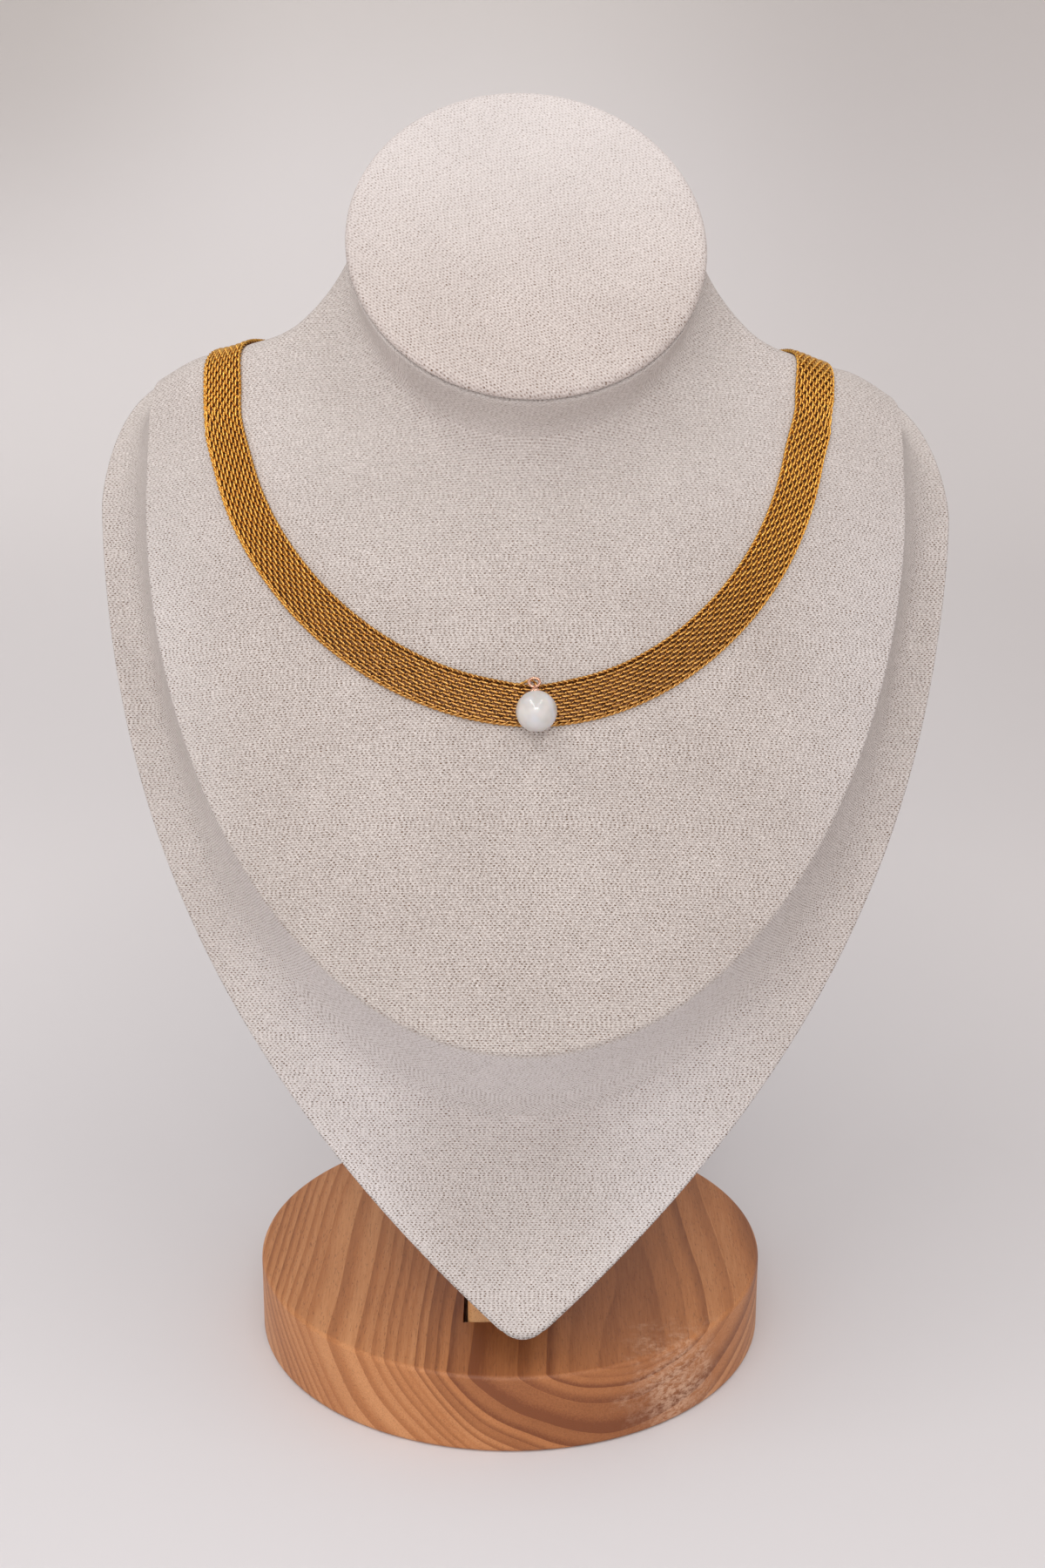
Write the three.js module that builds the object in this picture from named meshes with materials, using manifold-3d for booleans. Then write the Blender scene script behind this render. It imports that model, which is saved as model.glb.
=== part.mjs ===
// A pearl pendant necklace on its display: a woven wire-mesh band laid round the neck of a
// linen-covered bust, which leans back on a wooden slat let into a round wooden foot.
// Millimetres, +Z up. The origin is the middle of the foot's underside; the bust faces -Y.

import * as THREE from 'three';
import { mergeVertices } from 'three/addons/utils/BufferGeometryUtils.js';
import Module from 'manifold-3d';

// ---------------------------------------------------------------- driving dimensions

const GAP = 0.3; // clearance between pieces that touch
const FACET = 0.12; // how far a flat facet of the skin may stand above the smooth form

const FOOT = { radius: 60, height: 19, easing: 0.6, sides: 96 };

// The bust's own frame starts at its lower tip. "up" climbs the leaning back plate, "out" stands
// off it to the front, "across" runs to the wearer's left. The right shoulder sags a little.
const TIP = { x: 3, y: -60, z: 28.4 };
const LEAN = THREE.MathUtils.degToRad(28.8);
const SAG = { slope: 0.022, from: 150, over: 60 };

// Closed rings round the bust, from the neck's top out to the ridge of the chest. Each ring has a
// half-width, four heights (below the neck, at its widest, on the shoulder, behind the neck) and
// three distances out; "fall" is how sharply it drops back behind the shoulder. "at" is its place
// along the way from neck to ridge.
const RING_COLUMNS = [
  'at', 'wide', 'low', 'side', 'shoulder', 'high', 'outLow', 'outSide', 'outHigh', 'bow', 'corner', 'fall',
];
const RINGS = [
  [0.07, 37.8, 187.4, 229.6, 229.0, 264.0, 50.5, 43.0, 34.0, 2.0, 2.0, 3.0],
  [0.15, 40.5, 181.5, 224.6, 226.0, 256.6, 45.0, 37.0, 24.0, 2.0, 2.0, 4.0],
  [0.27, 49.0, 166.0, 216.0, 226.2, 247.8, 43.6, 35.5, 12.7, 1.9, 2.4, 5.5],
  [0.48, 64.3, 131.0, 200.0, 221.8, 237.0, 41.0, 30.5, 2.0, 1.8, 5.7, 8.0],
  [0.74, 76.0, 95.0, 193.0, 222.2, 228.0, 37.6, 24.5, -5.0, 1.8, 6.6, 8.0],
  [1.00, 85.0, 58.4, 185.0, 219.5, 222.9, 33.2, 18.5, -9.0, 1.8, 7.5, 8.0],
].map((row) => Object.fromEntries(row.map((value, i) => [RING_COLUMNS[i], value])));

// The neck is cut by a slanted plane: an oval seam, which the cap covers.
const SEAM = { wide: 38.4, tall: 39.25, up: 228.75, out: 52.4, slopeUp: -0.254, slopeAcross: -0.04 };

// The shield-shaped edge of the back plate, with a rounded lower tip.
const EDGE = {
  wide: 98.5, side: 187, vertex: -2.3, shoulder: 225.2, high: 221.1, outHigh: -14,
  corner: 12, bluff: 1.6, fall: 8,
};
const TIP_ROUND = { radius: 6.2, halfAngle: THREE.MathUtils.degToRad(45.6) };

const FLARE = { halfWidth: 37.9, power: 6.9 }; // how the neck widens into the shoulders, seen from behind
const HOLLOW = { depth: 0.22, steep: 3.6, plain: 1.25, span: 59 }; // wall between ridge and edge

// Rows of the plain back: how far in from the edge, and how much of the depth is reached.
const BACK = {
  middle: 120,
  out: -24.3,
  rows: [
    { inset: 0.03, reach: 0.25 },
    { inset: 0.07, reach: 0.52 },
    { inset: 0.13, reach: 0.77 },
    { inset: 0.22, reach: 0.94 },
    { inset: 0.36, reach: 1.0 },
    { inset: 0.68, reach: 1.0 },
  ],
};

// Rows of the cap's rim: how far in from the seam's oval, and how high above its plane.
const CAP = {
  gap: GAP,
  rows: [
    { inset: 0.6, lift: 0 },
    { inset: 0, lift: 0.5 },
    { inset: 0, lift: 1.6 },
    { inset: 0.35, lift: 2.2 },
    { inset: 1.1, lift: 2.5 },
  ],
};

const POST = { width: 19, shift: -3, thick: 16, front: -24.6, foot: 5, top: 150 };
const MORTISE = { play: 0.5, sidePlay: 1.0 };

// The band lies on the bust along one of its rings: a little lower at the pendant, further out on
// the wearer's right side than on the left, and further down behind both shoulders.
const BAND = {
  at: 0.4715, dip: 0.009, shift: 0.03, skew: 0.003, drop: 0.035, dropFrom: 78, dropOver: 20,
  width: 9.7, thick: 1.1, stations: 200, across: 4,
};
const CLASP = { halfLength: 7.5, width: 10, thick: 2.4, stations: 8 };

const PEARL = { radius: 4.3, across: 2.4, up: 128.2, out: 46.9, sides: 32 };
const RING = { across: 1.97, up: 135.1, out: 43.75, radius: 1.15, wire: 0.22 };
const CUP = { wide: 1.1, rim: 0.4, neck: 0.42, shoulder: 0.9, stem: 0.34, height: 2.0 };

const STATIONS = 24; // stations in each quarter of a ring
const FRONT_ROWS = [
  0, 0.035, 0.07, 0.11, 0.15, 0.2, 0.25, 0.3, 0.35, 0.39, 0.42, 0.45, 0.48, 0.51, 0.54, 0.6, 0.67,
  0.75, 0.83, 0.92, 1,
];
const WALL_ROWS = [0.06, 0.13, 0.21, 0.31, 0.44, 0.6, 0.8, 1];

// ---------------------------------------------------------------- finishes

const finish = (color, roughness, metalness) => (
  new THREE.MeshStandardMaterial({ color, roughness, metalness })
);
const linen = finish(0xcfc4b8, 0.95, 0);
const wood = finish(0xb0703f, 0.6, 0);
const gold = finish(0xc8922e, 0.35, 1);
const roseGold = finish(0xe0a98c, 0.25, 1);
const nacre = finish(0xe9e6e3, 0.25, 0);

// ---------------------------------------------------------------- the bust's frame and rings

/** A point of the bust's frame (across, up, out) in the part's own frame. */
function place(across, up, out) {
  const settled = up - SAG.slope * across * THREE.MathUtils.smoothstep(up, SAG.from, SAG.from + SAG.over);
  return new THREE.Vector3(
    TIP.x + across,
    TIP.y + settled * Math.sin(LEAN) - out * Math.cos(LEAN),
    TIP.z + settled * Math.cos(LEAN) + out * Math.sin(LEAN),
  );
}

const mix = (a, b, t) => a + (b - a) * t;

/** The seam oval at an angle from its lowest point, as across, up, out. */
function seamPoint(angle, grow = 0) {
  const across = (SEAM.wide + grow) * Math.sin(angle);
  const rise = -(SEAM.tall + grow) * Math.cos(angle);
  return [across, SEAM.up + rise, SEAM.out + SEAM.slopeUp * rise + SEAM.slopeAcross * across];
}

/** The upper half of a ring: up the side, over the shoulder's corner and behind the neck's flare. */
function upperHalf(ring, angle) {
  const share = Math.sin(angle);
  const across = ring.wide * share;
  const corner = Math.max(0, 1 - Math.abs(share) ** ring.corner) ** (1 / (ring.bluff ?? ring.corner));
  const flare = ring.corner > 2 ? 1 / (1 + (Math.abs(across) / FLARE.halfWidth) ** FLARE.power) : 0;
  const top = ring.corner > 2 ? mix(ring.shoulder, ring.high, flare) : ring.high;
  const turn = Math.abs(share) ** ring.fall;
  return [across, mix(ring.side, top, corner), mix(ring.outHigh, ring.outSide, turn)];
}

/** A ring at an angle from 0, below the neck, to PI, behind it. The lower half is a bow. */
function ringPoint(ring, angle) {
  if (angle > Math.PI / 2) return upperHalf(ring, angle);
  const drop = Math.cos(angle);
  const across = ring.wide * Math.sqrt(Math.max(0, 1 - drop ** ring.bow));
  return [across, mix(ring.side, ring.low, drop), mix(ring.outSide, ring.outLow, drop ** 1.6)];
}

/** The plate's edge: a round tip, sides that bow out to the widest place, then the shoulders. */
function edgePoint(angle) {
  if (angle > Math.PI / 2) return upperHalf({ ...EDGE, outSide: 0 }, angle);
  const up = EDGE.side * (1 - Math.cos(angle) ** 1.8);
  const roundTo = TIP_ROUND.radius * (1 - Math.sin(TIP_ROUND.halfAngle));
  if (up < roundTo) return [Math.sqrt(2 * TIP_ROUND.radius * up - up * up), up, 0];
  const drop = (EDGE.side - up) / (EDGE.side - EDGE.vertex);
  return [EDGE.wide * (1 - 0.33 * drop ** 1.3 - 0.67 * drop ** 2.7), up, 0];
}

/** A smooth curve through knots: cubic pieces whose slopes are the knots' own central slopes. */
function through(knots, points, t) {
  const last = knots.length - 1;
  const chord = (i) => points[i].map((v, k) => (points[i + 1][k] - v) / (knots[i + 1] - knots[i]));
  const slope = (i) => {
    if (i === 0) return chord(0);
    if (i === last) return chord(last - 1);
    const before = knots[i] - knots[i - 1];
    const after = knots[i + 1] - knots[i];
    const next = chord(i);
    return chord(i - 1).map((v, k) => (after * v + before * next[k]) / (before + after));
  };
  let i = 0;
  while (i < last - 1 && t >= knots[i + 1]) i += 1;
  const h = knots[i + 1] - knots[i];
  const u = (t - knots[i]) / h;
  const [start, end] = [slope(i), slope(i + 1)];
  return points[i].map((v, k) => (
    (2 * u ** 3 - 3 * u ** 2 + 1) * v + (u ** 3 - 2 * u ** 2 + u) * h * start[k]
    + (3 * u ** 2 - 2 * u ** 3) * points[i + 1][k] + (u ** 3 - u ** 2) * h * end[k]
  ));
}

const KNOTS = [0, ...RINGS.map((ring) => ring.at)];

/** Neck, shoulders and chest, from the seam (t = 0) to the chest's ridge (t = 1). */
function chestPoint(angle, side, t) {
  const seam = seamPoint(angle * side);
  seam[0] = Math.abs(seam[0]);
  return through(KNOTS, [seam, ...RINGS.map((ring) => ringPoint(ring, angle))], t);
}

/** The hollow wall that falls from the ridge (t = 0) to the plate's edge (t = 1). */
function wallPoint(angle, t) {
  const ridge = ringPoint(RINGS.at(-1), angle);
  const edge = edgePoint(angle);
  const span = Math.hypot(edge[0] - ridge[0], edge[1] - ridge[1]);
  const steep = HOLLOW.plain + HOLLOW.steep * (span / HOLLOW.span) ** 1.5;
  const dish = HOLLOW.depth * span * 6.75 * t * (1 - t) ** 2;
  const out = mix(edge[2], ridge[2], (1 - t) ** steep) - dish;
  return [mix(ridge[0], edge[0], t), mix(ridge[1], edge[1], t), out];
}

/** The plain back, drawn in from the edge towards its middle. */
function backPoint(angle, row) {
  const edge = edgePoint(angle);
  return [edge[0] * (1 - row.inset), mix(edge[1], BACK.middle, row.inset), mix(edge[2], BACK.out, row.reach)];
}

/** A point of the front skin for a turn from -PI to PI, positive to the wearer's left. */
function skin(turn, t) {
  const side = turn < 0 ? -1 : 1;
  const [across, up, out] = chestPoint(Math.abs(turn), side, t);
  return place(side * across, up, out);
}

// ---------------------------------------------------------------- meshes from loops

/** A closed body through equal loops of points, its two ends closed by fans. */
function loft(loops) {
  const count = loops[0].length;
  const vertices = loops.flat();
  const triangles = [];
  for (let row = 0; row + 1 < loops.length; row += 1) {
    for (let i = 0; i < count; i += 1) {
      const [a, b] = [row * count + i, row * count + ((i + 1) % count)];
      triangles.push([a, b, b + count], [a, b + count, a + count]);
    }
  }
  const fan = (loop, first, flip) => {
    const middle = loop.reduce((sum, p) => sum.add(p), new THREE.Vector3()).divideScalar(count);
    const hub = vertices.push(middle) - 1;
    for (let i = 0; i < count; i += 1) {
      const [a, b] = [first + i, first + ((i + 1) % count)];
      triangles.push(flip ? [hub, b, a] : [hub, a, b]);
    }
  };
  fan(loops[0], 0, true);
  fan(loops.at(-1), (loops.length - 1) * count, false);
  return facingOut(vertices, triangles);
}

/** A geometry of the triangles, turned over if their volume comes out negative. */
function facingOut(vertices, triangles) {
  const volume = triangles.reduce((sum, [a, b, c]) => (
    sum + vertices[a].dot(new THREE.Vector3().crossVectors(vertices[b], vertices[c]))
  ), 0);
  const turned = volume < 0 ? triangles.map(([a, b, c]) => [a, c, b]) : triangles;
  const geometry = new THREE.BufferGeometry().setFromPoints(vertices);
  geometry.setIndex(turned.flat());
  geometry.computeVertexNormals();
  return geometry;
}

/** Turns round a ring: even steps below, and steps that crowd towards the shoulders above. */
function turns() {
  const half = [];
  for (let i = 0; i <= STATIONS; i += 1) half.push((Math.PI / 2) * (i / STATIONS));
  for (let i = 1; i <= STATIONS; i += 1) half.push((Math.PI / 2) * (1 + (i / STATIONS) ** 1.8));
  const back = half.slice(1, -1).reverse().map((angle) => -angle);
  return [...half, ...back];
}

// ---------------------------------------------------------------- manifold solids

const wasm = await Module();
wasm.setup();

/** A three.js geometry as a manifold solid. */
function toSolid(geometry) {
  const bare = geometry.clone();
  bare.deleteAttribute('normal');
  bare.deleteAttribute('uv');
  const merged = mergeVertices(bare);
  return new wasm.Manifold(new wasm.Mesh({
    numProp: 3,
    vertProperties: new Float32Array(merged.attributes.position.array),
    triVerts: new Uint32Array(merged.index.array),
  }));
}

/** A manifold solid as a three.js geometry. */
function toGeometry(solid) {
  const mesh = solid.getMesh();
  const geometry = new THREE.BufferGeometry();
  geometry.setAttribute('position', new THREE.BufferAttribute(mesh.vertProperties, 3));
  geometry.setIndex(new THREE.BufferAttribute(mesh.triVerts, 1));
  geometry.computeVertexNormals();
  return geometry;
}

/** A slanted slat with level lower end, between two planes of the bust's frame. */
function slat({ width, shift, front, back, foot, top }) {
  const levelAt = (out) => (foot - TIP.z - out * Math.sin(LEAN)) / Math.cos(LEAN);
  const corners = [[levelAt(front), front], [top, front], [top, back], [levelAt(back), back]];
  const loop = (across) => corners.map(([up, out]) => place(shift + across, up, out));
  return loft([loop(-width / 2), loop(width / 2)]);
}

// ---------------------------------------------------------------- pieces

const group = new THREE.Group();

function addPiece(name, geometry, material) {
  const mesh = new THREE.Mesh(geometry, material);
  mesh.name = name;
  group.add(mesh);
}

/** The round foot, its two edges eased, with the slanted mortise cut into its top. */
function makeFoot() {
  const { radius, height, easing, sides } = FOOT;
  const profile = [
    [0, 0], [radius - easing, 0], [radius, easing],
    [radius, height - easing], [radius - easing, height], [0, height],
  ].map(([r, z]) => new THREE.Vector2(r, z));
  const disc = new THREE.LatheGeometry(profile, sides).rotateX(Math.PI / 2);
  const mortise = slat({
    width: POST.width + 2 * MORTISE.sidePlay,
    shift: POST.shift,
    front: POST.front + MORTISE.play,
    back: POST.front - POST.thick - MORTISE.play,
    foot: POST.foot - GAP,
    top: 40,
  });
  return toGeometry(toSolid(disc).subtract(toSolid(mortise)));
}

/** The slat that stands in the foot and carries the bust's back. */
function makePost() {
  return slat({ ...POST, back: POST.front - POST.thick });
}

/** The covered body: flat top under the cap, skin, ridge, wall, edge and plain back. */
function makeBust() {
  const angles = turns();
  const row = (point) => angles.map((turn) => {
    const side = turn < 0 ? -1 : 1;
    const [across, up, out] = point(Math.abs(turn), side);
    return place(side * across, up, out);
  });
  return loft([
    ...FRONT_ROWS.map((t) => row((angle, side) => chestPoint(angle, side, t))),
    ...WALL_ROWS.map((t) => row((angle) => wallPoint(angle, t))),
    ...BACK.rows.map((step) => row((angle) => backPoint(angle, step))),
  ]);
}

/** The slanted oval disc over the neck, its rim rounded. */
function makeCap() {
  const normal = place(0, 0, 1).sub(place(0, 0, 0))
    .addScaledVector(place(0, 1, 0).sub(place(0, 0, 0)), -SEAM.slopeUp)
    .addScaledVector(new THREE.Vector3(1, 0, 0), -SEAM.slopeAcross)
    .normalize();
  return loft(CAP.rows.map(({ inset, lift }) => Array.from({ length: 72 }, (_, i) => {
    const point = place(...seamPoint((i / 72) * 2 * Math.PI, -inset));
    return point.addScaledVector(normal, CAP.gap + lift);
  })));
}

/** Point, direction, side and normal of the band's route at a turn round the neck. */
function routeFrame(turn) {
  const atTurn = (angle) => {
    const behind = THREE.MathUtils.radToDeg(Math.abs(angle)) - BAND.dropFrom;
    return BAND.at + BAND.dip * Math.cos(angle) ** 6 - BAND.shift * Math.sin(angle) ** 9
      + BAND.skew * Math.sin(4 * angle) * Math.cos(angle)
      + BAND.drop * THREE.MathUtils.smoothstep(behind, 0, BAND.dropOver);
  };
  const step = 0.004;
  const at = atTurn(turn);
  const point = skin(turn, at);
  const ahead = skin(turn + step, atTurn(turn + step));
  const along = ahead.sub(skin(turn - step, atTurn(turn - step))).normalize();
  const outward = skin(turn, at + step).sub(skin(turn, at - step));
  const normal = new THREE.Vector3().crossVectors(outward, along).normalize();
  const side = new THREE.Vector3().crossVectors(along, normal).normalize();
  return { point, along, side, normal, at };
}

/** How high the skin stands above the route's tangent plane at a distance to the side. */
function rise(frame, turn, distance) {
  const target = frame.point.clone().addScaledVector(frame.side, distance);
  const step = 0.004;
  let [u, v] = [turn, frame.at];
  for (let pass = 0; pass < 4; pass += 1) {
    const miss = target.clone().sub(skin(u, v));
    const byTurn = skin(u + step, v).sub(skin(u - step, v)).divideScalar(2 * step);
    const byAt = skin(u, v + step).sub(skin(u, v - step)).divideScalar(2 * step);
    const [a, b] = [byTurn.dot(frame.along), byAt.dot(frame.along)];
    const [c, d] = [byTurn.dot(frame.side), byAt.dot(frame.side)];
    const [p, q] = [miss.dot(frame.along), miss.dot(frame.side)];
    const scale = a * d - b * c;
    u += (p * d - q * b) / scale;
    v += (q * a - p * c) / scale;
  }
  return skin(u, v).sub(frame.point).dot(frame.normal);
}

/** The route's turns in fine steps, with the length run up to each. */
const course = (() => {
  const turnsOfCourse = Array.from({ length: 2001 }, (_, i) => -Math.PI + (2 * Math.PI * i) / 2000);
  const points = turnsOfCourse.map((turn) => routeFrame(turn).point);
  const lengths = [0];
  for (let i = 1; i < points.length; i += 1) {
    lengths.push(lengths[i - 1] + points[i].distanceTo(points[i - 1]));
  }
  return { turns: turnsOfCourse, lengths, total: lengths.at(-1) };
})();

/** The route's frame at a distance along it from the nape. */
function courseAt(distance) {
  const { turns: steps, lengths, total } = course;
  const wanted = ((distance % total) + total) % total;
  const i = Math.max(1, lengths.findIndex((length) => length >= wanted));
  const share = (wanted - lengths[i - 1]) / (lengths[i] - lengths[i - 1]);
  const turn = mix(steps[i - 1], steps[i], share);
  return { turn, frame: routeFrame(turn) };
}

/** Even stations along the route between two distances from the nape. */
function route(from, to, count) {
  return Array.from({ length: count + 1 }, (_, k) => courseAt(mix(from, to, k / count)));
}

/** A thin strip that follows the skin along and across, just clear of it. */
function strip(stations, width, thick, across) {
  const places = Array.from({ length: across + 1 }, (_, i) => width * (i / across - 0.5));
  const seats = stations.map(({ turn, frame }) => places.map((x) => rise(frame, turn, x)));
  return loft(stations.map(({ frame }, k) => {
    const near = seats.slice(Math.max(0, k - 1), k + 2);
    const at = (i, lift) => frame.point.clone()
      .addScaledVector(frame.side, places[i])
      .addScaledVector(frame.normal, Math.max(...near.map((seat) => seat[i])) + GAP + FACET + lift);
    const under = places.map((_, i) => at(i, 0));
    const over = places.map((_, i) => at(i, thick));
    return [...under, ...over.reverse()];
  }));
}

/** The pearl, a ball with its poles on the axis of its drilling. */
function makePearl(centre) {
  return toGeometry(toSolid(new THREE.SphereGeometry(PEARL.radius, PEARL.sides, 20)))
    .applyMatrix4(new THREE.Matrix4().setPosition(centre));
}

/** The ring and, soldered to it, the cup that sits on the pearl. */
function makeRing(pearl, ring) {
  const reach = ring.distanceTo(pearl);
  const base = PEARL.radius + GAP;
  const profile = [
    [0, base], [CUP.wide, base - 0.05], [CUP.wide, base + CUP.rim], [CUP.neck, base + CUP.shoulder],
    [CUP.stem, base + CUP.height], [0, base + CUP.height],
  ].map(([r, h]) => new THREE.Vector2(r, h));
  const cup = toSolid(new THREE.LatheGeometry(profile, 20));
  const eye = toSolid(new THREE.TorusGeometry(RING.radius, RING.wire, 8, 28).translate(0, reach, 0));
  const axis = ring.clone().sub(pearl).normalize();
  const across = new THREE.Vector3(1, 0, 0).addScaledVector(axis, -axis.x).normalize();
  const facing = new THREE.Vector3().crossVectors(across, axis);
  const turned = new THREE.Matrix4().makeBasis(across, axis, facing).setPosition(pearl);
  return toGeometry(cup.add(eye)).applyMatrix4(turned);
}

const bandEnd = CLASP.halfLength + GAP;
const bandRoute = route(bandEnd, course.total - bandEnd, BAND.stations);
const claspRoute = route(-CLASP.halfLength, CLASP.halfLength, CLASP.stations);
const pearlCentre = place(PEARL.across, PEARL.up, PEARL.out);
const ringCentre = place(RING.across, RING.up, RING.out);

addPiece('wood_base', makeFoot(), wood);
addPiece('post', makePost(), wood);
addPiece('bust', makeBust(), linen);
addPiece('neck_cap', makeCap(), linen);
addPiece('mesh_band', strip(bandRoute, BAND.width, BAND.thick, BAND.across), gold);
addPiece('clasp', strip(claspRoute, CLASP.width, CLASP.thick, BAND.across), gold);
addPiece('pendant_ring', makeRing(pearlCentre, ringCentre), roseGold);
addPiece('pearl', makePearl(pearlCentre), nacre);

export default group;
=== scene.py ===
"""A woven wire choker with a pearl drop, laid on a linen-covered bust that leans on a wooden slat.

The slat stands in a round wooden foot. Sizes are in millimetres until a mesh is made.
"""

import math

import bpy
import numpy as np
from mathutils import Matrix, Vector


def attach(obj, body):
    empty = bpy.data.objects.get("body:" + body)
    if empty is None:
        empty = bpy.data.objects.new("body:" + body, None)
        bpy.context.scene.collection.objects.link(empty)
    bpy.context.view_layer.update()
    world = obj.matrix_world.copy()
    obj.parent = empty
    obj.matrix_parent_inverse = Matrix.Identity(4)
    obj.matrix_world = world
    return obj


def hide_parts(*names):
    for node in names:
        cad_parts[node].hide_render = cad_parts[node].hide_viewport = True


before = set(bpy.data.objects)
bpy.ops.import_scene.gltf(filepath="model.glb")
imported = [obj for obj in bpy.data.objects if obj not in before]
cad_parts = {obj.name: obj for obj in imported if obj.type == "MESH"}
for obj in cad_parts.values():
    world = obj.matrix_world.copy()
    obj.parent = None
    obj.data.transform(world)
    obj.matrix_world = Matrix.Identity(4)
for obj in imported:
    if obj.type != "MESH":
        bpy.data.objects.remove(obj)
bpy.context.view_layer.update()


# -------- camera
# A camera on a tripod, half a metre in front of the bust and level with its cap. It is tipped down
# until it takes in the foot.

CAMERA_PLACE = (2.58, -472.0, 284.0)
CAMERA_TIP = math.radians(17.5)
CAMERA_ROLL = math.radians(0.2)

camera_data = bpy.data.cameras.new("camera")
camera_data.sensor_width = 36
camera_data.lens = 50
camera_data.clip_start = 0.01
camera = bpy.data.objects.new("camera", camera_data)
bpy.context.scene.collection.objects.link(camera)
camera.matrix_world = (
    Matrix.Translation([v / 1000 for v in CAMERA_PLACE])
    @ Matrix.Rotation(math.pi / 2 - CAMERA_TIP, 4, "X")
    @ Matrix.Rotation(CAMERA_ROLL, 4, "Z")
)
bpy.context.scene.camera = camera


# -------- sweep and light
# A pale paper sweep lies flat under the foot and curves up far away on all sides. Three long soft
# banks hang over the bust, one in front and one on each side; a wide fill and a small lamp stand
# further in front, and the room lights the rest.

SWEEP_LEVEL = 900.0
SWEEP_BEND_RADIUS = 1100.0
SWEEP_SIDES = 96
LAMP_COLOUR = (1.0, 0.98, 0.96)
ROOM_COLOUR = (1.0, 0.965, 0.95, 1.0)


class Wire:
    """One value in a finish's node tree: sums on it add Math nodes, and add() makes any other."""

    def __init__(self, tree, socket):
        self.tree = tree
        self.socket = socket

    def add(self, kind, settings, sockets, output=0):
        """A node of a kind, its settings set first and its sockets after; gives one output."""
        node = self.tree.nodes.new("ShaderNode" + kind)
        for name, value in settings.items():
            if name == "stops":
                ramp = node.color_ramp.elements
                while len(ramp) < len(value):
                    ramp.new(1.0)
                for stop, (position, colour) in zip(ramp, value):
                    stop.position = position
                    stop.color = (*colour, 1.0)
            else:
                setattr(node, name, value)
        for name, value in sockets.items():
            if isinstance(value, Wire):
                self.tree.links.new(value.socket, node.inputs[name])
            else:
                node.inputs[name].default_value = value
        return Wire(self.tree, node.outputs[output])

    def math(self, operation, *others):
        """A Math node on this value and the others, in their order."""
        values = dict(enumerate((self, *others)))
        return self.add("Math", {"operation": operation}, values)

    def __add__(self, other):
        return self.math("ADD", other)

    __radd__ = __add__

    def __mul__(self, other):
        return self.math("MULTIPLY", other)

    __rmul__ = __mul__

    def __sub__(self, other):
        return self.math("SUBTRACT", other)

    def __rsub__(self, other):
        return self * -1.0 + other

    def __truediv__(self, other):
        return self.math("DIVIDE", other)

    def __pow__(self, other):
        return self.math("POWER", other)

    def floor(self):
        return self.math("FLOOR")

    def sine(self):
        return self.math("SINE")

    def size(self):
        """The value without its sign."""
        return self.math("ABSOLUTE")

    def between(self, low, high):
        """0 below low, 1 above high and a smooth step between."""
        settings = {"interpolation_type": "SMOOTHSTEP"}
        return self.add("MapRange", settings, {0: self, 1: low, 2: high, 3: 0.0, 4: 1.0})

    def mix(self, first, second):
        """A colour that goes from the first to the second as this value goes from 0 to 1."""
        settings = {"data_type": "RGBA", "clamp_factor": True}
        return self.add("Mix", settings, {0: self, 6: first, 7: second}, 2)

    def parts(self):
        """A vector's three numbers."""
        node = self.add("SeparateXYZ", {}, {0: self})
        return [Wire(self.tree, socket) for socket in node.socket.node.outputs]

    def noise(self, scale, detail=2.0, rough=0.5, stretch=(1.0, 1.0, 1.0)):
        """Soft noise on this vector, in cells of 1 / scale, stretched first along each axis."""
        moved = self.add("VectorMath", {"operation": "MULTIPLY"}, {0: self, 1: stretch})
        values = {"Vector": moved, "Scale": scale, "Detail": detail, "Roughness": rough}
        return self.add("TexNoise", {}, values)


def colour(r, g, b):
    """A colour given as 0 to 255 on a screen, as the shader's light values."""
    shares = np.array([r, g, b]) / 255
    light = np.where(shares <= 0.04045, shares / 12.92, ((shares + 0.055) / 1.055) ** 2.4)
    return (*map(float, light), 1.0)


def new_finish(name, **fixed):
    """A material, its shader with the fixed sockets set, and its Object coordinates in mm."""
    material = bpy.data.materials.new(name)
    material.use_nodes = True
    tree = material.node_tree
    shader = tree.nodes["Principled BSDF"]
    for socket, value in fixed.items():
        shader.inputs[socket.replace("_", " ")].default_value = value
    start = Wire(tree, None).add("TexCoord", {}, {}, "Object")
    spot = start.add("VectorMath", {"operation": "SCALE"}, {0: start, 3: 1000.0})
    return material, shader, spot


def feed(shader, **values):
    """Leads values into the shader's sockets, a height through a Bump node into its Normal."""
    for name, value in values.items():
        if name == "height":
            depth, wire = value
            bump = wire.add("Bump", {}, {"Strength": 1.0, "Distance": depth / 1000,
                                         "Height": wire})
            shader.id_data.links.new(bump.socket, shader.inputs["Normal"])
        else:
            shader.id_data.links.new(value.socket, shader.inputs[name.replace("_", " ")])


def new_piece(name, points, faces, material, outward=True):
    """An object at the origin from points in mm and faces; it is turned to face outwards."""
    mesh = bpy.data.meshes.new(name)
    corners = np.asarray(points, float).reshape(-1, 3) / 1000
    triangles = np.concatenate([np.stack([f[:, 0], f[:, i], f[:, i + 1]], 1) for f in faces
                                for i in range(1, f.shape[1] - 1)])
    a, b, c = (corners[triangles[:, i]] for i in range(3))
    keep = (float(np.einsum("ij,ij->", a, np.cross(b, c))) >= 0) == outward
    order = [row if keep else row[::-1] for f in faces for row in f.tolist()]
    mesh.from_pydata(corners.tolist(), [], order)
    mesh.shade_smooth()
    mesh.materials.append(material)
    piece = bpy.data.objects.new(name, mesh)
    bpy.context.scene.collection.objects.link(piece)
    return piece


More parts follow.
